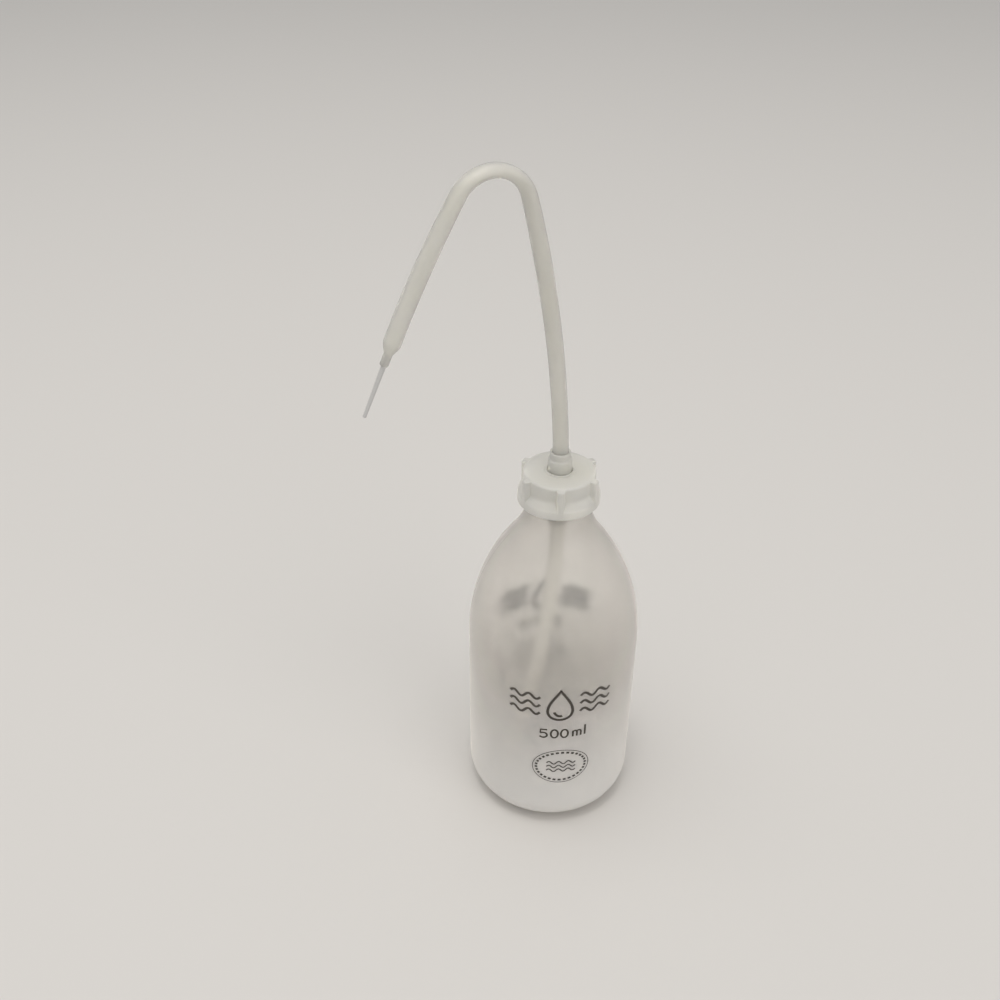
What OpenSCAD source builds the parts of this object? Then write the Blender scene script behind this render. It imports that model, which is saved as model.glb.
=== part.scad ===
// Squeeze wash bottle: a round narrow-neck bottle with a screw closure, a bent spray
// spout with a fine jet tip, and a dip tube that reaches the corner of the base.
// The origin is the middle of the base and +Z is up. The spout lies in the XZ plane
// and reaches towards -X.

/* [Bottle] */
// Outside diameter of the body
body_d = 75; // [72:0.5:80]
// Height at which the straight wall ends and the shoulder begins
shoulder_z = 88; // [80:1:95]
// Height at which the shoulder has turned upright into the neck
neck_z = 160.9; // [158:0.1:164]
// Thickness of the blown wall
wall = 1; // [0.8:0.1:1.2]
// Radius of the rounded corner between base and wall
base_round = 13.5; // [8:0.5:15]
// Radius of the outward curve of the shoulder
shoulder_r = 88; // [60:1:95]
// Rise of the dished middle of the base
base_rise = 2.5; // [1:0.5:4]
// Outer radius of the dished middle of the base
base_dish_r = 20; // [15:1:21]

/* [Neck] */
// Outside radius of the neck's collar, below the thread
collar_r = 13; // [12.8:0.1:13.2]
// Radius of the neck at the bottom of its thread
neck_root_r = 11.4; // [11.2:0.1:11.5]
// Radius of the neck's bore
neck_bore_r = 10.2; // [10.2:0.1:10.4]
// Height of the rim above the start of the neck
neck_h = 8.1; // [7.9:0.1:8.3]
// Rise of the thread in one turn
pitch = 3; // [3:0.1:3.2]

/* [Cap] */
// Radius of the cap's round core, between the grip ribs
cap_r = 14.9; // [14.6:0.1:15.4]
// Radius over the grip ribs
rib_r = 17.1; // [16.6:0.1:17.2]
// Radius of the band round the cap's open end
band_r = 17.3; // [17.3:0.1:17.8]
// Height of that band
band_h = 3.8; // [3:0.1:4.5]
// Height of the cap
cap_h = 13.7; // [13.7:0.1:14.5]
// Number of grip ribs
ribs = 6; // [4:1:8]
// Width of a rib across its outer face
rib_w = 2.8; // [2:0.1:4]
// Width of a rib at the core
rib_root_w = 4.8; // [4:0.1:6]
// Angle from +X to the first rib
rib_turn = 3; // [0:1:90]

/* [Tube holder] */
// Radius of the holder's spout socket, outside, at its mouth
boss_r = 4.3; // [4.1:0.1:4.5]
// Radius of the lower part of the socket, in the cap's hole
boss_base_r = 4.9; // [4.7:0.1:5]
// Height of the socket's mouth above the cap's top
boss_h = 8.8; // [6:0.2:12]
// Radius of the flange that seals the neck
flange_r = 12.2; // [12:0.1:12.3]
// How far the plug reaches into the neck
plug_h = 4.5; // [3:0.5:6]

/* [Tubes] */
// Outside radius of the spout and of the dip tube
tube_r = 3.25; // [3:0.05:3.4]
// Radius of their bore
tube_bore_r = 2.25; // [1.8:0.05:2.4]
// Radial play of a tube in its socket
play = 0.05; // [0.02:0.01:0.1]
// Depth of the spout in its socket
socket_h = 18; // [12:1:18]
// Radius and angle of the spout's slight lean as it leaves the socket
lean = [100, 3.4];
// Radius and angle of the rising arm's slow curve
rise = [505, 11.6];
// Radius and angle of the tight bend at the top
bend = [15, 133];
// Radius and angle of the falling arm's slow curve
reach = [411, 7.5];
// Radius of the dip tube's slow curve
dip_bend_r = 400; // [380:10:600]
// Height of the dip tube's open end above the base
dip_end_z = 6; // [5:1:12]

/* [Jet] */
// Length over which the spout's end closes in to its narrow neck
taper_h = 4.5; // [3:0.5:6]
// Length of the narrow neck
jet_neck_h = 4.5; // [3:0.5:6]
// Outside radius of the narrow neck
jet_neck_r = 1.6; // [1.5:0.1:2]
// Length of the jet tip outside the narrow neck
jet_out_h = 20.4; // [12:0.2:26]
// Outside radius of the jet tip at its root
jet_r = 0.95; // [0.8:0.05:1]
// Outside radius of the jet tip at its mouth
jet_mouth_r = 0.65; // [0.55:0.05:0.8]

/* [Hidden] */
$fn = 96;

// Bottle
body_r = body_d / 2;
turn_a = 2 * atan((body_r - collar_r) / (neck_z - shoulder_z)); // steepest slope of the shoulder
throat_r = (neck_z - shoulder_z) / sin(turn_a) - shoulder_r;    // radius of its inward curve
dish_r = (base_dish_r * base_dish_r + base_rise * base_rise) / (2 * base_rise);
rim_z = neck_z + neck_h;
collar_h = 0.3;
bore_flare_h = 1;   // height of the bore's mouth below the collar
bore_flare_a = 12;  // where the inside of the throat takes over from it

// Threads
ridge_root = 1.5;   // width of a thread ridge at its root, along the axis
ridge_crest = 0.8;
ridge_h = 0.9;
ridge_bury = 0.4;   // depth of the ridge's root inside the wall
thread_step = 15;   // degrees between two sections of a ridge
neck_turns = 600;   // degrees of thread on the neck
cap_thread_from = 180;
cap_turns = 420;
neck_thread_z = neck_z + 1.7;

// Closure
seal_h = 1;
flange_h = 1.15;
gap = 0.05;         // play between the flange and the turning cap
cap_z = neck_z - 1.8;
cap_top = cap_z + cap_h;
cap_bore_r = 12.6;
cap_mouth_r = 13.7;
cap_mouth_h = 2.5;
cap_hole_r = boss_base_r + 0.25;
rib_sunk_r = cap_bore_r + 1;    // radius at which a rib's flanks begin, inside the core
cap_edge_r = 1;
rib_edge_r = 0.8;
rib_step = 0.3;     // how far the ribs stop below the cap's top
rib_foot_z = 2;     // height on the cap at which the ribs' flanks begin
band_edge_r = 0.7;
band_draft = 0.3;   // how much narrower the band is at its top
flare_h = 3.4;      // height over which the cap narrows from the band to its core
lip_w = 1;
flange_z = rim_z + seal_h;
plate_z = flange_z + flange_h + gap;

// Tube holder
boss_top = cap_top + boss_h;
boss_step_z = boss_top - 2.8;
boss_edge = 0.4;
spout_foot_z = boss_top - socket_h;
dip_socket_h = 10;
spigot_z = 148;
dip_top_z = spigot_z + dip_socket_h;
plug_r = neck_bore_r - 0.1;
plug_wall = 1;
plug_lead = 0.6;    // chamfer at the plug's leading edge

// Tubes
taper_steps = 5;
jet_play = 0.03;
jet_in_h = 4;       // length of the jet tip inside the narrow neck
jet_bore_r = 0.4;
seam_h = 0.4;
seam_step = 0.02;
dip_a = asin((spigot_z - dip_end_z) / dip_bend_r);

// Points on an arc about (x, y), from angle a0 to a1
function arc(x, y, r, a0, a1, n) =
    [for (i = [0:n]) let (a = a0 + (a1 - a0) * i / n) [x + r * cos(a), y + r * sin(a)]];

// One section of a helical ridge: root and crest radii, height z, at angle a.
// The order of the four corners follows which side the crest is on.
function ridge_section(root, crest, z, a) =
    let (s = crest > root ? 1 : -1, b = s * ridge_root / 2, c = s * ridge_crest / 2)
    [for (p = [[root, -b], [crest, -c], [crest, c], [root, b]])
        [p[0] * cos(a), p[0] * sin(a), z + p[1]]];

// A right-hand helical ridge that fades in and out over two sections at its ends
module ridge(root, crest, z0, from, to) {
    n = round((to - from) / thread_step);
    bury = crest > root ? -ridge_bury : ridge_bury;
    function height(i) = min(1, 0.2 + 0.4 * i, 0.2 + 0.4 * (n - i));
    points = [for (i = [0:n]) let (a = from + (to - from) * i / n)
        each ridge_section(root + bury, root + (crest - root) * height(i), z0 + pitch * a / 360, a)];
    sides = [for (i = [0:n - 1], k = [0:3])
        let (p = 4 * i + k, q = 4 * i + (k + 1) % 4)
        each [[p, q, q + 4], [p, q + 4, p + 4]]];
    ends = [[0, 3, 2], [0, 2, 1], [4 * n, 4 * n + 1, 4 * n + 2], [4 * n, 4 * n + 2, 4 * n + 3]];
    polyhedron(points = points, faces = concat(sides, ends));
}

// A stretch of tube that starts at the origin along +Z and curves towards -X
module tube_arc(path, r, bore) {
    translate([-path[0], 0, 0])
        rotate([90, 0, 0])
            rotate_extrude(angle = path[1], $fn = 96)
                translate([path[0], 0])
                    difference() {
                        circle(r, $fn = 48);
                        circle(bore, $fn = 48);
                    }
}

// A hair-thin band that fuses two stretches of tube where they meet
module seam() {
    ring(-seam_h / 2, seam_h / 2, tube_r + seam_step, tube_bore_r - seam_step);
}

// Moves its children to the far end of a tube_arc with the same path
module beyond(path) {
    translate([-path[0] * (1 - cos(path[1])), 0, path[0] * sin(path[1])])
        rotate([0, -path[1], 0])
            children();
}

// Moves its children to the end of the spout's falling arm
module at_spout_end() {
    translate([0, 0, boss_top])
        beyond(lean) beyond(rise) beyond(bend) beyond(reach)
            children();
}

module ring(z0, z1, r, bore) {
    translate([0, 0, z0])
        difference() {
            cylinder(h = z1 - z0, r = r);
            translate([0, 0, -1]) cylinder(h = z1 - z0 + 2, r = bore);
        }
}

module bottle() {
    outside = concat(
        arc(0, base_rise - dish_r, dish_r, 90, acos(base_dish_r / dish_r), 6),
        arc(body_r - base_round, base_round, base_round, -90, 0, 12),
        arc(body_r - shoulder_r, shoulder_z, shoulder_r, 0, turn_a, 16),
        arc(collar_r + throat_r, neck_z, throat_r, 180 + turn_a, 180, 10),
        [[collar_r, neck_z + collar_h], [neck_root_r, neck_z + collar_h], [neck_root_r, rim_z]]);
    inside = concat(
        [[neck_bore_r, rim_z], [neck_bore_r, neck_z - bore_flare_h]],
        arc(collar_r + throat_r, neck_z, throat_r + wall, 180 + bore_flare_a, 180 + turn_a, 8),
        arc(body_r - shoulder_r, shoulder_z, shoulder_r - wall, turn_a, 0, 16),
        arc(body_r - base_round, base_round, base_round - wall, 0, -90, 12),
        arc(0, base_rise - dish_r, dish_r + wall, acos(base_dish_r / (dish_r + wall)), 90, 6));
    color([0.92, 0.91, 0.87, 0.6]) {
        rotate_extrude() polygon(concat(outside, inside));
        ridge(neck_root_r, neck_root_r + ridge_h, neck_thread_z, 0, neck_turns);
    }
}

module screw_cap() {
    core = concat(
        [[cap_mouth_r, 0]],
        arc(band_r - band_edge_r, band_edge_r, band_edge_r, -90, 0, 4),
        [[band_r - band_draft, band_h], [cap_r, band_h + flare_h]],
        arc(cap_r - cap_edge_r, cap_h - cap_edge_r, cap_edge_r, 0, 90, 4),
        [[cap_hole_r + lip_w, cap_h]],
        arc(cap_hole_r + lip_w / 2, cap_h, lip_w / 2, 0, 180, 6),
        [[cap_hole_r, plate_z - cap_z], [cap_bore_r, plate_z - cap_z]],
        [[cap_bore_r, cap_mouth_h], [cap_mouth_r, cap_mouth_h]]);
    rib_top = cap_h - rib_step;
    rib_side = concat(
        [[0, rib_foot_z], [rib_r, rib_foot_z]],
        arc(rib_r - rib_edge_r, rib_top - rib_edge_r, rib_edge_r, 0, 90, 4),
        [[0, rib_top]]);
    color([0.94, 0.93, 0.86, 0.8]) {
        translate([0, 0, cap_z]) {
            rotate_extrude() polygon(core);
            for (i = [0:ribs - 1])
                rotate([0, 0, rib_turn + i * 360 / ribs])
                    intersection() {
                        rotate_extrude() polygon(rib_side);
                        linear_extrude(cap_h)
                            polygon([
                                [rib_sunk_r, -rib_root_w / 2], [rib_r, -rib_w / 2],
                                [rib_r + rib_w, -rib_w / 2], [rib_r + rib_w, rib_w / 2],
                                [rib_r, rib_w / 2], [rib_sunk_r, rib_root_w / 2]]);
                    }
        }
        ridge(cap_bore_r, cap_bore_r - ridge_h, neck_thread_z - pitch / 2,
            cap_thread_from, cap_thread_from + cap_turns);
    }
}

module tube_holder() {
    outside = [
        [tube_r + play, spigot_z], [boss_r, spigot_z], [boss_r, flange_z],
        [plug_r - plug_wall, flange_z], [plug_r - plug_wall, flange_z - plug_h],
        [plug_r - plug_lead, flange_z - plug_h], [plug_r, flange_z - plug_h + plug_lead],
        [plug_r, flange_z], [flange_r, flange_z], [flange_r, flange_z + flange_h],
        [boss_base_r, flange_z + flange_h], [boss_base_r, boss_step_z - boss_base_r + boss_r],
        [boss_r, boss_step_z], [boss_r, boss_top - boss_edge], [boss_r - boss_edge, boss_top]];
    sockets = [
        [tube_r + play, boss_top], [tube_r + play, spout_foot_z],
        [tube_bore_r, spout_foot_z], [tube_bore_r, dip_top_z], [tube_r + play, dip_top_z]];
    color([0.93, 0.92, 0.85, 0.8])
        rotate_extrude() polygon(concat(outside, sockets));
}

module seal_ring() {
    color([0.86, 0.86, 0.84])
        ring(rim_z, rim_z + seal_h, flange_r, plug_r + play);
}

module spout_tube() {
    shoulder = concat(
        [[tube_bore_r, 0]],
        [for (i = [0:taper_steps]) let (a = 90 * i / taper_steps)
            [jet_neck_r + (tube_r - jet_neck_r) * cos(a), taper_h * i / taper_steps]],
        [[jet_neck_r, taper_h + jet_neck_h], [jet_r + jet_play, taper_h + jet_neck_h],
         [jet_r + jet_play, taper_h]]);
    color([0.90, 0.89, 0.84, 0.8]) {
        ring(spout_foot_z, boss_top, tube_r, tube_bore_r);
        translate([0, 0, boss_top]) {
            tube_arc(lean, tube_r, tube_bore_r);
            beyond(lean) {
                seam();
                tube_arc(rise, tube_r, tube_bore_r);
                beyond(rise) {
                    seam();
                    tube_arc(bend, tube_r, tube_bore_r);
                    beyond(bend) {
                        seam();
                        tube_arc(reach, tube_r, tube_bore_r);
                    }
                }
            }
        }
        at_spout_end() {
            seam();
            rotate_extrude($fn = 48) polygon(shoulder);
        }
    }
}

module jet_tip() {
    neck_top = taper_h + jet_neck_h;
    color([0.80, 0.81, 0.82, 0.8])
        at_spout_end()
            rotate_extrude($fn = 48)
                polygon([
                    [jet_bore_r, neck_top - jet_in_h], [jet_r, neck_top - jet_in_h],
                    [jet_r, neck_top], [jet_mouth_r, neck_top + jet_out_h],
                    [jet_bore_r, neck_top + jet_out_h]]);
}

module dip_tube() {
    color([0.90, 0.89, 0.84, 0.8]) {
        ring(spigot_z, dip_top_z, tube_r, tube_bore_r);
        translate([0, 0, spigot_z])
            mirror([0, 0, 1])
                tube_arc([dip_bend_r, dip_a], tube_r, tube_bore_r);
    }
}

bottle();
screw_cap();
tube_holder();
seal_ring();
spout_tube();
jet_tip();
dip_tube();
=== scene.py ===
"""The looks of a squeeze wash bottle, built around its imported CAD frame.

The frame has its origin in the middle of the base, +Z up and the spout reaching towards -X.
Outlines and paths are in millimetres, as on a drawing, and become metres when a mesh is made.
"""
import math

import bmesh
import bpy
from mathutils import Euler, Matrix, Vector


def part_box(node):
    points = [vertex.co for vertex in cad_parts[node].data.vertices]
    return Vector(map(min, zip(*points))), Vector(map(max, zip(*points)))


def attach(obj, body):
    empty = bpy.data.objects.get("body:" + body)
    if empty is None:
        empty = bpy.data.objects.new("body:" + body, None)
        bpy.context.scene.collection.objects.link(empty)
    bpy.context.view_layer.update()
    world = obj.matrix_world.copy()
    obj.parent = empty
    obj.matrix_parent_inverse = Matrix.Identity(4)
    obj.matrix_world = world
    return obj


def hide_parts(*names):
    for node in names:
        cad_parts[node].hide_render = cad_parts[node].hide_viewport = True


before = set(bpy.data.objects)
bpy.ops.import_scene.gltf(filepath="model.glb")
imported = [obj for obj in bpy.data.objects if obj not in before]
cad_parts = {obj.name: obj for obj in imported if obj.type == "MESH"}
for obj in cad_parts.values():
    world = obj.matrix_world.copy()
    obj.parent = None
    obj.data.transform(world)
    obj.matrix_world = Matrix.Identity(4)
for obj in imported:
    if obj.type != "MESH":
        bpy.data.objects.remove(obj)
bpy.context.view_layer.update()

MM = 0.001


def low(node):
    """The lowest corner of a CAD node, in millimetres."""
    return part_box(node)[0] / MM


def high(node):
    """The highest corner of a CAD node, in millimetres."""
    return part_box(node)[1] / MM


# Bottle
BODY_R = high("bottle").y
RIM_Z = high("bottle").z
NECK_Z = RIM_Z - 8.1
SHOULDER_Z = 88
SHOULDER_R = 88
WALL = 1
BASE_ROUND = 13.5
BASE_RISE = 2.5
DISH_R = 20
COLLAR_R = 13
NECK_ROOT_R = 11.4
NECK_BORE_R = 10.2
SEAM_TURN = -27         # direction of the mould's parting plane, in degrees from +X
SEAM_W = 0.5
SEAM_H = 0.08

# Threads
PITCH = 3
RIDGE_ROOT = 1.5
RIDGE_CREST = 0.8
RIDGE_H = 0.9
NECK_TURNS = (0, 600)
CAP_TURNS = (180, 600)
THREAD_Z = NECK_Z + 1.7

# Cap
CAP_Z = low("screw_cap").z
CAP_H = 13.7
CAP_TOP = CAP_Z + CAP_H
CAP_R = 14.9
RIB_R = 17.1
BAND_R = high("screw_cap").y
BAND_H = 3.8
FLARE_H = 3.4
CAP_BORE_R = 12.6
CAP_MOUTH_R = 13.7
CAP_MOUTH_H = 2.5
RIBS = 6
RIB_TURN = 3
RIB_W = 2.8
RIB_ROOT_W = 4.8
RIB_TOP = CAP_TOP - 0.3

# Tube holder and seal
BOSS_TOP = high("tube_holder").z
SPIGOT_Z = low("tube_holder").z
BOSS_R = 4.3
BOSS_BASE_R = 4.9
BOSS_STEP_Z = BOSS_TOP - 2.8
SEAL_Z = low("seal_ring").z
FLANGE_Z = high("seal_ring").z
FLANGE_R = high("seal_ring").y
FLANGE_H = 1.15
PLUG_R = NECK_BORE_R - 0.1
PLUG_H = 4.5
CAP_HOLE_R = BOSS_BASE_R + 0.25

# Tubes, with the spout's arcs as (radius, angle) from the holder outwards
TUBE_R = high("dip_tube").y
TUBE_BORE_R = 2.25
SPOUT_FOOT_Z = low("spout_tube").z
SPOUT_ARCS = ((100, 3.4), (505, 11.6), (15, 133), (411, 7.5))
DIP_TOP_Z = high("dip_tube").z
DIP_BEND_R = 400
DIP_END_Z = 6
BEND_SQUEEZE = 0.2      # share by which the bend is flattened at its middle
TAPER_H = 4.5
JET_NECK_H = 4.5
JET_NECK_R = 1.6
JET_R = 0.95
JET_MOUTH_R = 0.65
JET_BORE_R = 0.4
JET_PLAY = 0.03
JET_IN_H = 4
JET_OUT_H = 20.4

# Print on the wall
PRINT_TURN = -117       # direction that the front print faces, in degrees from +X
INK_LIFT = 0.005
INK_H = 0.03

# Mesh sides round each turned or swept piece
BOTTLE_SIDES = 240
CAP_SIDES = 432
RING_SIDES = 128        # holder and seal
SPOUT_SIDES = 64
DIP_SIDES = 48
JET_SIDES = 32

# Plastic, with the heights between which the bottle's wall turns from a milkier foot to clear; the
# foot is also painted lighter and warmer, which is painted light for the glow in the thick base
CLOUD_SCALE = 38
GRAIN_SCALE = 900
GRAIN_DEPTH = 0.02
MILKY_Z = 8
CLEAR_Z = 98

# Stage: a close view from above the bottle's shoulder, its lens in millimetres
FLOOR_HALF = 8
CAMERA_PLACE = (-0.1934, -0.3264, 0.4192)
CAMERA_HEADING = -27
CAMERA_TILT = 55.35
CAMERA_ROLL = 0.4
CAMERA_LENS = 40.14
CAMERA_SENSOR = 36


# ---------------------------------------------------------------- outlines and meshes


def arc(r, z, radius, start, stop, steps):
    """Points (r, z) on an arc about (r, z), from start to stop degrees."""
    turns = [math.radians(start + (stop - start) * i / steps) for i in range(steps + 1)]
    return [(r + radius * math.cos(t), z + radius * math.sin(t)) for t in turns]


def rounded(corners, steps=4):
    """The outline through corners (r, z) or (r, z, fillet), each fillet as a short curve."""
    outline = []
    for i, corner in enumerate(corners):
        if len(corner) == 2:
            outline.append(corner)
            continue
        at = Vector(corner[:2])
        before = Vector(corners[i - 1][:2]) - at
        after = Vector(corners[(i + 1) % len(corners)][:2]) - at
        reach = [min(corner[2], side.length * 0.49) for side in (before, after)]
        start = at + before.normalized() * reach[0]
        end = at + after.normalized() * reach[1]
        for k in range(steps + 1):
            t = k / steps
            p = start * (1 - t) ** 2 + at * (2 * t * (1 - t)) + end * t ** 2
            outline.append((p.x, p.y))
    return outline


def refined(outline, step, closed=True):
    """The same outline with points added, so that none are further apart than step."""
    points = []
    pairs = list(zip(outline, outline[1:] + outline[:1]))
    for a, b in pairs if closed else pairs[:-1]:
        count = max(1, math.ceil(math.dist(a, b) / step))
        points += [
            (a[0] + (b[0] - a[0]) * k / count, a[1] + (b[1] - a[1]) * k / count)
            for k in range(count)
        ]
    return points if closed else points + [outline[-1]]


def smooth_max(a, b, blend):
    """The larger of a and b, with the crease between them rounded over blend."""
    share = min(1, max(0, 0.5 + 0.5 * (a - b) / blend))
    return b + (a - b) * share + blend * share * (1 - share)


def smooth_step(start, stop, value):
    """0 at start, 1 at stop, and an S-curve in between."""
    t = min(1, max(0, (value - start) / (stop - start)))
    return t * t * (3 - 2 * t)


def mesh_object(name, points, faces, sharp=40):
    """An object from points in millimetres, smooth but for edges sharper than sharp degrees."""
    mesh = bpy.data.meshes.new(name)
    mesh.from_pydata([Vector(p) * MM for p in points], [], faces)
    work = bmesh.new()
    work.from_mesh(mesh)
    bmesh.ops.remove_doubles(work, verts=work.verts, dist=1e-8)
    bmesh.ops.recalc_face_normals(work, faces=work.faces)
    work.to_mesh(mesh)
    work.free()
    mesh.shade_smooth()
    mesh.set_sharp_from_angle(angle=math.radians(sharp))
    obj = bpy.data.objects.new(name, mesh)
    bpy.context.scene.collection.objects.link(obj)
    return obj


def from_rings(name, rings, closed):
    """A mesh whose rings of points each join the next, and the last joins the first if closed."""
    count = len(rings[0])
    faces = []
    for i in range(len(rings) if closed else len(rings) - 1):
        a, b = i * count, (i + 1) % len(rings) * count
        faces += [
            (a + k, a + (k + 1) % count, b + (k + 1) % count, b + k) for k in range(count)
        ]
    return mesh_object(name, [p for ring in rings for p in ring], faces)


def lathe(name, outline, angles, closed=True, shape=None):
    """Turns an outline about the Z axis. shape(r, z, angle, index) gives another radius."""
    rings = []
    for index, (r, z) in enumerate(outline):
        ring = []
        for angle in angles:
            a = math.radians(angle)
            s = shape(r, z, angle, index) if shape else r
            ring.append((s * math.cos(a), s * math.sin(a), z))
        rings.append(ring)
    return from_rings(name, rings, closed)


def turn(count, extra=()):
    """count even directions round the axis, in degrees, with more of them near each extra one."""
    near = (-0.8, -0.4, -0.2, 0, 0.2, 0.4, 0.8)
    even = [360 * i / count for i in range(count)]
    added = [(e + n) % 360 for e in extra for n in near]
    kept = [a for a in even if all(abs((a - e + 180) % 360 - 180) > 1 for e in extra)]
    return sorted(kept + added)


def thread(z, angle, start_z, turns):
    """How far a thread's ridge stands at a height and direction: 0 beside it, 1 on its crest."""
    most = 0
    for lap in range(math.floor(turns[0] / 360), math.ceil(turns[1] / 360) + 1):
        along = angle % 360 + 360 * lap
        if turns[0] <= along <= turns[1]:
            off = abs(z - start_z - PITCH * along / 360)
            rise = 1 - smooth_step(RIDGE_CREST / 2 - 0.1, RIDGE_ROOT / 2 + 0.1, off)
            fade = min(1, (along - turns[0]) / 30, (turns[1] - along) / 30)
            most = max(most, rise * fade)
    return most


# ---------------------------------------------------------------- paths and sweeps


def follow(arcs, start, step):
    """Frames (place, heading) along arcs of (radius, angle) that curve towards -X from +Z."""
    place, heading = Vector(start), 0.0
    frames = [(place.copy(), heading)]
    for radius, angle in arcs:
        count = max(1, math.ceil(radius * math.radians(angle) / step))
        turned = math.radians(angle) / count
        for _ in range(count):
            middle = heading + turned / 2
            chord = 2 * radius * math.sin(turned / 2)
            place = place + chord * Vector((-math.sin(middle), 0, math.cos(middle)))
            heading += turned
            frames.append((place.copy(), heading))
    return frames


def turned_on(arcs, place, heading, step):
    """follow() from any place and heading."""
    turned = Matrix.Rotation(-heading, 3, "Y")
    return [(place + turned @ p, heading + h) for p, h in follow(arcs, (0, 0, 0), step)]


def straight(frames, length, step):
    """More frames straight on from the last one."""
    place, heading = frames[-1]
    ahead = Vector((-math.sin(heading), 0, math.cos(heading)))
    count = max(1, math.ceil(length / step))
    return [(place + ahead * length * k / count, heading) for k in range(1, count + 1)]


def ring_at(place, heading, radius, sides, squeeze=0.0):
    """A ring across a tube. squeeze flattens it in the plane of the bend and widens it across."""
    inward = Vector((-math.cos(heading), 0, -math.sin(heading)))
    across = Vector((0, 1, 0))
    ring = []
    for k in range(sides):
        a = 2 * math.pi * k / sides
        ring.append(
            place
            + inward * (radius * (1 - squeeze) * math.cos(a))
            + across * (radius * (1 + squeeze * 0.6) * math.sin(a))
        )
    return ring


# ---------------------------------------------------------------- pieces


def bottle():
    """The blown bottle: dished base, straight wall, domed shoulder and threaded neck."""
    turn_a = math.degrees(2 * math.atan((BODY_R - COLLAR_R) / (NECK_Z - SHOULDER_Z)))
    throat_r = (NECK_Z - SHOULDER_Z) / math.sin(math.radians(turn_a)) - SHOULDER_R
    dome_r = (DISH_R ** 2 + BASE_RISE ** 2) / (2 * BASE_RISE)
    flare_a = 12
    dish_edge = math.degrees(math.acos(DISH_R / dome_r))
    inner_edge = math.degrees(math.acos(DISH_R / (dome_r + WALL)))
    outside = rounded(
        arc(0, BASE_RISE - dome_r, dome_r, 90, dish_edge + 1.5, 14)
        + [(DISH_R, 0.0, 2.5)]
        + arc(BODY_R - BASE_ROUND, BASE_ROUND, BASE_ROUND, -86, 0, 24)
        + arc(BODY_R - SHOULDER_R, SHOULDER_Z, SHOULDER_R, 0, turn_a, 40)
        + arc(COLLAR_R + throat_r, NECK_Z, throat_r, 180 + turn_a, 180, 20)[1:]
        + [(COLLAR_R, NECK_Z + 0.3, 0.25), (NECK_ROOT_R, NECK_Z + 0.3, 0.3)]
    )
    neck = refined([(NECK_ROOT_R, NECK_Z + 0.8), (NECK_ROOT_R, RIM_Z - 0.3)], 0.2, False)
    inside = rounded(
        [(NECK_ROOT_R, RIM_Z - 0.05, 0.2), (NECK_BORE_R, RIM_Z, 0.25)]
        + [(NECK_BORE_R, NECK_Z - 1, 0.6)]
        + arc(COLLAR_R + throat_r, NECK_Z, throat_r + WALL, 180 + flare_a, 180 + turn_a, 18)
        + arc(BODY_R - SHOULDER_R, SHOULDER_Z, SHOULDER_R - WALL, turn_a, 0, 40)
        + arc(BODY_R - BASE_ROUND, BASE_ROUND, BASE_ROUND - WALL, 0, -86, 24)
        + [(DISH_R + 0.6, WALL, 2.5)]
        + arc(0, BASE_RISE - dome_r, dome_r + WALL, inner_edge + 1.5, 90, 14)
    )
    first, last = len(outside), len(outside) + len(neck)
    seams = (SEAM_TURN % 360, SEAM_TURN % 360 + 180)

    def shape(r, z, angle, index):
        if first <= index < last:
            return r + RIDGE_H * thread(z, angle, THREAD_Z, NECK_TURNS)
        if index < first and r > DISH_R:
            off = min(abs((angle - s + 180) % 360 - 180) for s in seams)
            return r + SEAM_H * (1 - smooth_step(0, SEAM_W, math.radians(off) * r))
        return r

    return lathe("bottle_shell", outside + neck + inside, turn(BOTTLE_SIDES, seams), False, shape)


def screw_cap():
    """The cap: round core, grip ribs, flared band and an inside thread."""
    outside = rounded(
        [
            (BAND_R, CAP_Z, 0.9),
            (BAND_R - 0.3, CAP_Z + BAND_H, 0.5),
            (CAP_R, CAP_Z + BAND_H + FLARE_H, 0.8),
            (CAP_R, CAP_TOP, 1.1),
            (CAP_HOLE_R + 1, CAP_TOP, 0.3),
            (CAP_HOLE_R + 1, CAP_TOP + 0.5, 0.6),
            (CAP_HOLE_R, CAP_TOP + 0.5, 0.6),
            (CAP_HOLE_R, FLANGE_Z + FLANGE_H + 0.05, 0.15),
            (CAP_BORE_R, FLANGE_Z + FLANGE_H + 0.05, 0.3),
            (CAP_BORE_R, CAP_Z + CAP_MOUTH_H, 0.3),
            (CAP_MOUTH_R, CAP_Z + CAP_MOUTH_H, 0.2),
            (CAP_MOUTH_R, CAP_Z, 0.2),
        ],
        6,
    )
    outline = refined(outside, 0.3)
    edge = 0.8

    def rib(z, angle):
        """The radius of the rib's outside at a height and direction, or 0 well beside it."""
        if z > RIB_TOP or z < CAP_Z + 1:
            return 0
        gap = 360 / RIBS
        off = (angle - RIB_TURN + gap / 2) % gap - gap / 2
        beside = abs(RIB_R * math.sin(math.radians(off)))
        foot = CAP_R - 1.5
        rise = 1 - smooth_step(RIB_W / 2 - 0.4, RIB_ROOT_W / 2 + 0.5, beside)
        drop = max(0, z - RIB_TOP + edge) / edge
        top = RIB_R - edge + edge * math.sqrt(max(0, 1 - drop * drop))
        return foot + (top - foot) * rise

    def shape(r, z, angle, index):
        if r > CAP_BORE_R + 1.2 and z > CAP_Z + 0.5:
            return smooth_max(r, rib(z, angle), 0.35)
        if abs(r - CAP_BORE_R) < 0.01 and z < FLANGE_Z:
            return r - RIDGE_H * thread(z, angle, THREAD_Z - PITCH / 2, CAP_TURNS)
        return r

    return lathe("screw_cap_shell", outline, turn(CAP_SIDES), True, shape)


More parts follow.
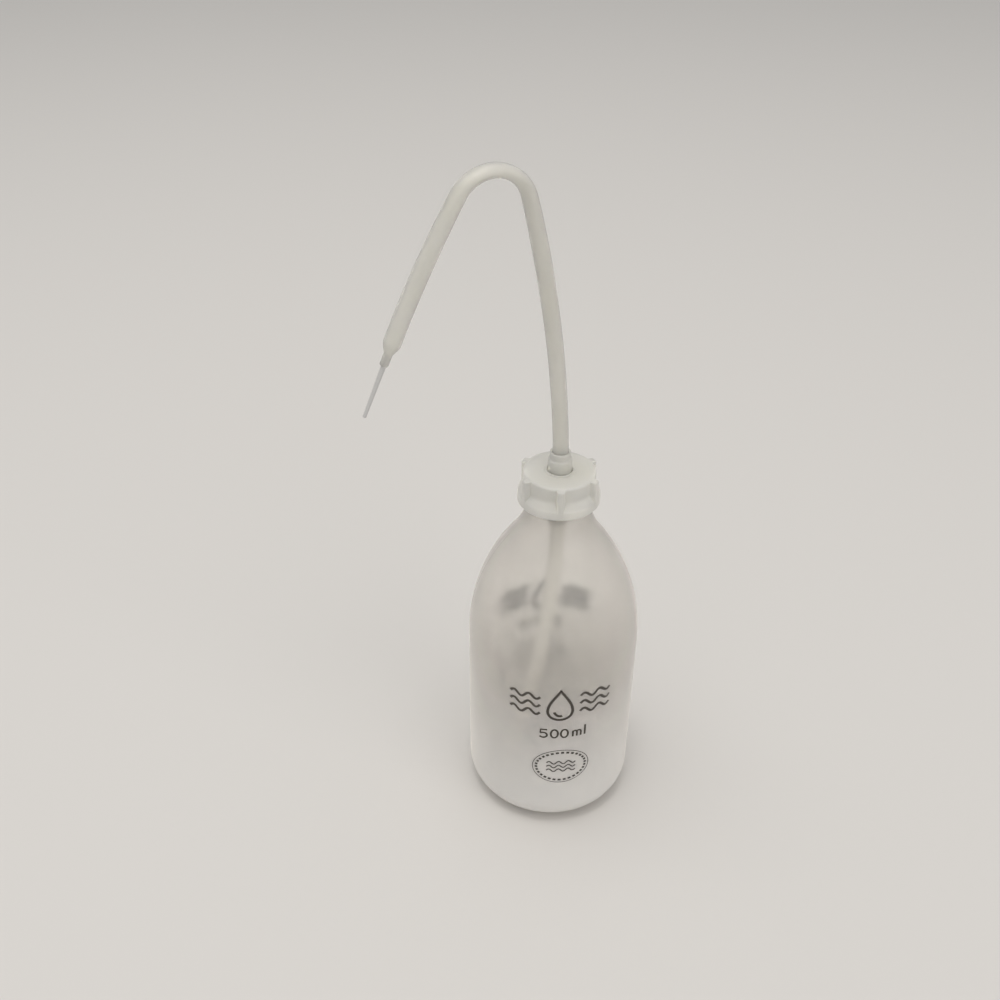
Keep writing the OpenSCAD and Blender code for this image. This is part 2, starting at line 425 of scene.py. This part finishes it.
def tube_holder():
    """The holder that seals the neck and carries both tubes."""
    play = 0.05
    outline = rounded(
        [
            (TUBE_R + play, SPIGOT_Z, 0.3),
            (BOSS_R, SPIGOT_Z, 0.4),
            (BOSS_R, FLANGE_Z, 0.3),
            (PLUG_R - 1, FLANGE_Z, 0.3),
            (PLUG_R - 1, FLANGE_Z - PLUG_H, 0.2),
            (PLUG_R - 0.6, FLANGE_Z - PLUG_H, 0.2),
            (PLUG_R, FLANGE_Z - PLUG_H + 0.6, 0.2),
            (PLUG_R, FLANGE_Z, 0.1),
            (FLANGE_R, FLANGE_Z, 0.2),
            (FLANGE_R, FLANGE_Z + FLANGE_H, 0.3),
            (BOSS_BASE_R, FLANGE_Z + FLANGE_H, 0.4),
            (BOSS_BASE_R, BOSS_STEP_Z - 0.6, 0.3),
            (BOSS_R, BOSS_STEP_Z, 0.3),
            (BOSS_R, BOSS_TOP, 0.5),
            (TUBE_R + play, BOSS_TOP, 0.3),
            (TUBE_R + play, SPOUT_FOOT_Z, 0.1),
            (TUBE_BORE_R, SPOUT_FOOT_Z, 0.1),
            (TUBE_BORE_R, DIP_TOP_Z, 0.1),
            (TUBE_R + play, DIP_TOP_Z, 0.1),
        ]
    )
    return lathe("tube_holder_shell", refined(outline, 2), turn(RING_SIDES))


def seal_ring():
    """The soft washer between the neck's rim and the holder's flange."""
    inner = PLUG_R + 0.05
    outline = rounded(
        [
            (inner, SEAL_Z, 0.35),
            (FLANGE_R, SEAL_Z, 0.35),
            (FLANGE_R, FLANGE_Z, 0.35),
            (inner, FLANGE_Z, 0.35),
        ]
    )
    return lathe("seal_washer", outline, turn(RING_SIDES))


def spout_path():
    """Frames from the spout's foot to the end of its falling arm.

    With them come how many lie before the bend and how many are in it.
    """
    start = [(Vector((0, 0, SPOUT_FOOT_Z)), 0.0)]
    rise = start + straight(start, BOSS_TOP - SPOUT_FOOT_Z, 2)
    arm = follow(SPOUT_ARCS[:2], (0, 0, BOSS_TOP), 1.5)
    place, heading = arm[-1]
    bend = turned_on(SPOUT_ARCS[2:3], place, heading, 0.6)
    place, heading = bend[-1]
    fall = turned_on(SPOUT_ARCS[3:], place, heading, 1.5)
    return rise + arm[1:] + bend[1:] + fall[1:], len(rise) + len(arm) - 1, len(bend)


def spout_tube():
    """The bent spout, a little flattened in its bend, with its end drawn in to a narrow neck."""
    path, bend_start, bend_count = spout_path()
    bend_middle = bend_start + bend_count / 2
    outer, inner = [], []
    for i, (place, heading) in enumerate(path):
        near = abs(i - bend_middle) / (bend_count * 0.85)
        squeeze = BEND_SQUEEZE * (1 - smooth_step(0.25, 1, near))
        outer.append(ring_at(place, heading, TUBE_R, SPOUT_SIDES, squeeze))
        inner.append(ring_at(place, heading, TUBE_BORE_R, SPOUT_SIDES, squeeze))
    place, heading = path[-1]
    ahead = Vector((-math.sin(heading), 0, math.cos(heading)))
    steps = 12
    for k in range(1, steps + 1):
        t = k / steps
        r = JET_NECK_R + (TUBE_R - JET_NECK_R) * math.cos(math.pi / 2 * t) ** 1.1
        outer.append(ring_at(place + ahead * TAPER_H * t, heading, r, SPOUT_SIDES))
        bore = JET_R + JET_PLAY + (TUBE_BORE_R - JET_R) * math.cos(math.pi / 2 * t)
        inner.append(ring_at(place + ahead * (TAPER_H - 0.8) * t, heading, bore, SPOUT_SIDES))
    tip = place + ahead * (TAPER_H + JET_NECK_H)
    outer.append(ring_at(tip - ahead * 0.3, heading, JET_NECK_R, SPOUT_SIDES))
    outer.append(ring_at(tip, heading, JET_NECK_R - 0.25, SPOUT_SIDES))
    inner.append(ring_at(tip, heading, JET_R + JET_PLAY, SPOUT_SIDES))
    return from_rings("spout_tube_shell", outer + inner[::-1], True)


def jet_tip():
    """The fine tip pushed into the spout's neck, tapering to its mouth."""
    path, _, _ = spout_path()
    place, heading = path[-1]
    ahead = Vector((-math.sin(heading), 0, math.cos(heading)))
    start, root = TAPER_H + JET_NECK_H - JET_IN_H, TAPER_H + JET_NECK_H
    end = root + JET_OUT_H
    outline = rounded(
        [
            (JET_BORE_R, start),
            (JET_R, start, 0.2),
            (JET_R, root),
            (JET_MOUTH_R, end, 0.12),
            (JET_BORE_R, end, 0.08),
        ]
    )
    rings = [ring_at(place + ahead * z, heading, r, JET_SIDES) for r, z in refined(outline, 1.5)]
    return from_rings("jet_tip_shell", rings, True)


def dip_tube():
    """The tube that reaches down to the corner of the base."""
    sweep = math.degrees(math.asin((SPIGOT_Z - DIP_END_Z) / DIP_BEND_R))
    above = [(Vector((0, 0, DIP_TOP_Z - 2 * k)), 0.0) for k in range(5)]
    below = [
        (Vector((p.x, 0, SPIGOT_Z - p.z)), -h)
        for p, h in follow(((DIP_BEND_R, sweep),), (0, 0, 0), 2)
    ]
    path = above + below
    outer = [ring_at(p, h, TUBE_R, DIP_SIDES) for p, h in path]
    inner = [ring_at(p, h, TUBE_BORE_R, DIP_SIDES) for p, h in path]
    return from_rings("dip_tube_shell", outer + inner[::-1], True)


# ---------------------------------------------------------------- print


def circle(x, z, width, height, start=0, stop=360, steps=40):
    """A stroke's points along an ellipse, from start to stop degrees."""
    turns = [math.radians(start + (stop - start) * k / steps) for k in range(steps + 1)]
    return [(x + width / 2 * math.cos(t), z + height / 2 * math.sin(t)) for t in turns]


def wave(x0, x1, z, height, count):
    """A stroke's points along a wavy line with count crests."""
    steps = 16 * count
    return [
        (x0 + (x1 - x0) * k / steps, z + height * math.sin(2 * math.pi * count * k / steps))
        for k in range(steps + 1)
    ]


def drop(x, z, width, height):
    """A stroke's points round a water drop that stands on its round end."""
    steps = 48
    points = []
    for k in range(steps + 1):
        t = 2 * math.pi * k / steps
        side = math.sin(t) * math.sin(t / 2) ** 1.3
        points.append((x + width * 0.62 * side, z + height / 2 * math.cos(t)))
    return points


def ribbon(points, width):
    """The left and right edges of a stroke of that width along points."""
    left, right = [], []
    last = len(points) - 1
    closed = math.dist(points[0], points[-1]) < 1e-6
    for i, p in enumerate(points):
        before = points[i - 1] if i else points[last - 1] if closed else p
        after = points[i + 1] if i < last else points[1] if closed else p
        along = (Vector(after) - Vector(before)).normalized() * width / 2
        left.append((p[0] - along.y, p[1] + along.x))
        right.append((p[0] + along.y, p[1] - along.x))
    return left, right


def printed(name, strokes, facing):
    """Ink on the bottle's wall: strokes of (points, width) in millimetres along the wall."""
    points, faces = [], []

    def wrapped(p, lift):
        a = math.radians(facing) + p[0] / BODY_R
        r = BODY_R + lift
        return (r * math.cos(a), r * math.sin(a), p[1])

    for line, width in strokes:
        left, right = ribbon(line, width)
        start = len(points)
        for pair in zip(left, right):
            points += [wrapped(p, h) for h in (INK_LIFT, INK_LIFT + INK_H) for p in pair]
        for k in range(len(line) - 1):
            a, b = start + 4 * k, start + 4 * k + 4
            faces += [
                (a, a + 1, b + 1, b),
                (a + 2, b + 2, b + 3, a + 3),
                (a, b, b + 2, a + 2),
                (a + 1, a + 3, b + 3, b + 1),
            ]
        end = start + 4 * (len(line) - 1)
        faces += [(start, start + 2, start + 3, start + 1), (end, end + 1, end + 3, end + 2)]
    return mesh_object(name, points, faces)


def picture_strokes(weight):
    """A generic sign: a water drop between sets of waves."""
    pen = 1.05 * weight
    strokes = [(drop(2.3, 77, 12, 17), pen), (circle(2.3, 74.2, 5.4, 7, 200, 290, 12), pen)]
    for z in (72.5, 77, 81.5):
        strokes.append((wave(-20, -6.5, z, 1.3, 2), pen))
        strokes.append((wave(11, 25.5, z, 1.3, 2), pen))
    return strokes


def capacity_strokes(weight):
    """The capacity: 500 ml."""
    pen, z, tall, wide = 0.85 * weight, 57.6, 4.8, 3.1
    return [
        ([(-3.0, z + tall), (-5.9, z + tall), (-5.9, z + tall * 0.58)], pen),
        (circle(-4.7, z + tall * 0.32, 3.4, tall * 0.62, 140, -150, 20), pen),
        (circle(0.2, z + tall / 2, wide, tall), pen),
        (circle(4.6, z + tall / 2, wide, tall), pen),
        ([(8.4, z), (8.4, z + 3.5)], pen),
        (circle(9.3, z + 2.3, 1.9, 2.3, 180, 0, 10) + [(10.2, z)], pen),
        (circle(11.1, z + 2.3, 1.9, 2.3, 180, 0, 10) + [(12.0, z)], pen),
        ([(13.9, z), (13.9, z + tall + 1)], pen),
    ]


def stamp_strokes(weight):
    """A generic round stamp: a ring of dashes with waves in it."""
    x, z, wide, tall, dashes = 3.8, 39.3, 25.5, 20.5, 30
    strokes = [(circle(x, z, wide, tall, 0, 360, 72), 0.3 * weight)]
    for k in range(dashes):
        start = 360 * k / dashes
        dash = circle(x, z, wide - 3.2, tall - 3.2, start, start + 7, 3)
        strokes.append((dash, 1.1 * weight))
    for k in range(3):
        strokes.append((wave(x - 6.5, x + 6.5, z - 2.4 + 2.4 * k, 0.8, 3), 0.6 * weight))
    return strokes


# ---------------------------------------------------------------- materials


def plastic(name, colour, clear, rough, foot=None, ior=1.4, sheen=0.0, depth=2, grain=0.1):
    """Natural polyethylene: milky, partly clear, with a fine grain and a cloudy unevenness.

    clear is the share of light that passes, and depth how far light spreads, in millimetres.
    foot is the (colour, clearness) that the wall turns to towards the base; it is partly the
    milkier plastic there and partly painted light, drawn lighter than the wall above.
    """
    material = bpy.data.materials.new(name)
    material.use_nodes = True
    nodes, links = material.node_tree.nodes, material.node_tree.links
    shader = nodes["Principled BSDF"]
    shader.inputs["Transmission Weight"].default_value = clear
    shader.inputs["IOR"].default_value = ior
    shader.inputs["Sheen Weight"].default_value = sheen
    shader.inputs["Sheen Roughness"].default_value = 0.4
    shader.inputs["Sheen Tint"].default_value = (1, 0.96, 0.9, 1)
    shader.inputs["Subsurface Weight"].default_value = 1 if depth else 0
    shader.inputs["Subsurface Radius"].default_value = (1, 1, 1)
    shader.inputs["Subsurface Scale"].default_value = depth * MM
    place = nodes.new("ShaderNodeTexCoord")

    clouds = nodes.new("ShaderNodeTexNoise")
    clouds.inputs["Scale"].default_value = CLOUD_SCALE
    clouds.inputs["Detail"].default_value = 3
    links.new(place.outputs["Object"], clouds.inputs["Vector"])
    tint = nodes.new("ShaderNodeValToRGB")
    tint.color_ramp.elements[0].position = 0.3
    tint.color_ramp.elements[1].position = 0.7
    tint.color_ramp.elements[0].color = [c * 0.97 for c in colour] + [1]
    tint.color_ramp.elements[1].color = [min(1, c * 1.03) for c in colour] + [1]
    links.new(clouds.outputs["Fac"], tint.inputs["Fac"])
    links.new(tint.outputs["Color"], shader.inputs["Base Color"])
    haze = nodes.new("ShaderNodeMapRange")
    haze.inputs["To Min"].default_value = rough - 0.04
    haze.inputs["To Max"].default_value = rough + 0.04
    links.new(clouds.outputs["Fac"], haze.inputs["Value"])
    links.new(haze.outputs["Result"], shader.inputs["Roughness"])

    # The foot is milkier plastic and also painted light: the wall is drawn lighter and warmer
    # towards the base, standing in for light gathered in the thick base
    if foot:
        parts = nodes.new("ShaderNodeSeparateXYZ")
        links.new(place.outputs["Object"], parts.inputs["Vector"])
        height = nodes.new("ShaderNodeMapRange")
        height.interpolation_type = "SMOOTHSTEP"
        height.inputs["From Min"].default_value = MILKY_Z * MM
        height.inputs["From Max"].default_value = CLEAR_Z * MM
        links.new(parts.outputs["Z"], height.inputs["Value"])
        blend = nodes.new("ShaderNodeMix")
        blend.data_type = "RGBA"
        blend.inputs["A"].default_value = (*foot[0], 1)
        links.new(height.outputs["Result"], blend.inputs["Factor"])
        links.new(tint.outputs["Color"], blend.inputs["B"])
        links.new(blend.outputs["Result"], shader.inputs["Base Color"])
        clearness = nodes.new("ShaderNodeMapRange")
        clearness.inputs["To Min"].default_value = foot[1]
        clearness.inputs["To Max"].default_value = clear
        links.new(height.outputs["Result"], clearness.inputs["Value"])
        links.new(clearness.outputs["Result"], shader.inputs["Transmission Weight"])

    fine = nodes.new("ShaderNodeTexNoise")
    fine.inputs["Scale"].default_value = GRAIN_SCALE
    fine.inputs["Detail"].default_value = 2
    links.new(place.outputs["Object"], fine.inputs["Vector"])
    relief = nodes.new("ShaderNodeBump")
    relief.inputs["Strength"].default_value = grain
    relief.inputs["Distance"].default_value = GRAIN_DEPTH * MM
    links.new(fine.outputs["Fac"], relief.inputs["Height"])
    links.new(relief.outputs["Normal"], shader.inputs["Normal"])
    return material


def ink(name, colour):
    """Screen-printed ink: matt, with small thin places."""
    material = bpy.data.materials.new(name)
    material.use_nodes = True
    nodes, links = material.node_tree.nodes, material.node_tree.links
    shader = nodes["Principled BSDF"]
    shader.inputs["Roughness"].default_value = 0.55
    place = nodes.new("ShaderNodeTexCoord")
    speckle = nodes.new("ShaderNodeTexNoise")
    speckle.inputs["Scale"].default_value = 1800
    links.new(place.outputs["Object"], speckle.inputs["Vector"])
    tint = nodes.new("ShaderNodeValToRGB")
    tint.color_ramp.elements[0].color = [c * 0.7 for c in colour] + [1]
    tint.color_ramp.elements[1].color = [c * 1.6 for c in colour] + [1]
    links.new(speckle.outputs["Fac"], tint.inputs["Fac"])
    links.new(tint.outputs["Color"], shader.inputs["Base Color"])
    return material


def paper(name, colour):
    """The pale sheet that the bottle stands on."""
    material = bpy.data.materials.new(name)
    material.use_nodes = True
    shader = material.node_tree.nodes["Principled BSDF"]
    shader.inputs["Base Color"].default_value = colour
    shader.inputs["Roughness"].default_value = 0.85
    shader.inputs["Specular IOR Level"].default_value = 0.2
    return material


def dress(obj, body, slot, material, *nodes):
    """Gives a piece its material and its body, and hides the CAD nodes that it stands for. The slot
    is not used.
    """
    obj.data.materials.append(material)
    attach(obj, body)
    if nodes:
        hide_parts(*nodes)


# ---------------------------------------------------------------- stage


def area_light(name, place, aim, size, power, colour):
    """A square soft light that looks from place at aim."""
    light = bpy.data.lights.new(name, "AREA")
    light.size = size
    light.energy = power
    light.color = colour
    obj = bpy.data.objects.new(name, light)
    obj.location = place
    obj.rotation_euler = (Vector(aim) - Vector(place)).to_track_quat("-Z", "Y").to_euler()
    bpy.context.scene.collection.objects.link(obj)


def stage():
    """The floor, the lights, the surroundings and the camera."""
    scene = bpy.context.scene
    corners = [(x * FLOOR_HALF, y * FLOOR_HALF, 0) for x, y in ((-1, -1), (1, -1), (1, 1), (-1, 1))]
    sheet = bpy.data.meshes.new("floor")
    sheet.from_pydata(corners, [], [(0, 1, 2, 3)])
    floor = bpy.data.objects.new("floor", sheet)
    floor.data.materials.append(paper("paper", (0.66, 0.65, 0.635, 1)))
    scene.collection.objects.link(floor)

    world = bpy.data.worlds.new("room")
    world.use_nodes = True
    back = world.node_tree.nodes["Background"]
    back.inputs["Color"].default_value = (1, 0.99, 0.975, 1)
    back.inputs["Strength"].default_value = 0.52
    scene.world = world
    area_light("key", (-0.35, 0.05, 2.2), (0, 0, 0), 2.2, 23, (1, 0.96, 0.91))
    area_light("lamp", (-0.3, -0.33, 2.0), (0, 0, 0.1), 0.3, 4, (1, 0.96, 0.92))
    area_light("fill", (0.8, -3.0, 1.6), (0, 0, 0.1), 2.6, 22, (1, 0.96, 0.92))

    camera = bpy.data.cameras.new("camera")
    camera.lens = CAMERA_LENS
    camera.sensor_width = CAMERA_SENSOR
    camera.clip_start = 0.01
    eye = bpy.data.objects.new("camera", camera)
    tilt = Euler((math.radians(CAMERA_TILT), 0, math.radians(CAMERA_HEADING))).to_matrix()
    roll = Matrix.Rotation(math.radians(CAMERA_ROLL), 3, "Z")
    eye.matrix_world = Matrix.Translation(CAMERA_PLACE) @ (tilt @ roll).to_4x4()
    scene.collection.objects.link(eye)
    scene.camera = eye
    scene.view_settings.view_transform = "Standard"


# The foot colour is partly painted light: lighter and warmer than the wall, for light caught in the
# thick base, on top of its milkier plastic
body_plastic = plastic(
    "bottle_plastic",
    (0.968, 0.95, 0.922),
    0.88,
    0.2,
    foot=((0.995, 0.955, 0.9), 0.27),
    ior=1.25,
    sheen=0.6,
)
cap_plastic = plastic("cap_plastic", (0.995, 0.98, 0.89), 0.5, 0.15, ior=1.35, sheen=0.6)
holder_plastic = plastic("holder_plastic", (0.995, 0.98, 0.89), 0.5, 0.15, ior=1.35, sheen=0.3)
tube_plastic = plastic("tube_plastic", (0.95, 0.93, 0.865), 0.55, 0.1, ior=1.5)
# Painted light: the dip tube is the spout's tube stock, drawn lighter and almost opaque so it shows
# as a bright band, standing in for light the tube pipes down from above
dip_plastic_painted_light = plastic("dip_plastic_painted_light", (0.99, 0.965, 0.92), 0.05, 0.3, depth=0)
jet_plastic = plastic("jet_plastic", (0.6, 0.6, 0.595), 0.1, 0.35, depth=0, grain=0)
seal_plastic = plastic("seal_plastic", (0.86, 0.86, 0.84), 0.1, 0.5)
print_ink = ink("print_ink", (0.045, 0.038, 0.032))

dress(bottle(), "bottle", "bottle_plastic", body_plastic, "bottle")
dress(screw_cap(), "cap", "cap_plastic", cap_plastic, "screw_cap")
dress(tube_holder(), "closure", "holder_plastic", holder_plastic, "tube_holder")
dress(seal_ring(), "closure", "seal", seal_plastic, "seal_ring")
dress(dip_tube(), "closure", "tube_plastic", dip_plastic_painted_light, "dip_tube")
dress(spout_tube(), "spout", "tube_plastic", tube_plastic, "spout_tube")
dress(jet_tip(), "spout", "jet_plastic", jet_plastic, "jet_tip")
# The back's strokes are heavier and show through both walls as dark patches; the extra weight is
# partly painted shade, standing in for the shaded inside of the bottle behind the print
for side, facing, weights in (
    ("front", PRINT_TURN, (1.15, 1, 1)),
    ("back", PRINT_TURN + 180, (2.4, 1.5, 2.2)),
):
    for mark, strokes in (
        ("picture", picture_strokes(weights[0])),
        ("capacity", capacity_strokes(weights[1])),
        ("stamp", stamp_strokes(weights[2])),
    ):
        dress(printed(f"{side}_{mark}", strokes, facing), "bottle", "ink", print_ink)
stage()
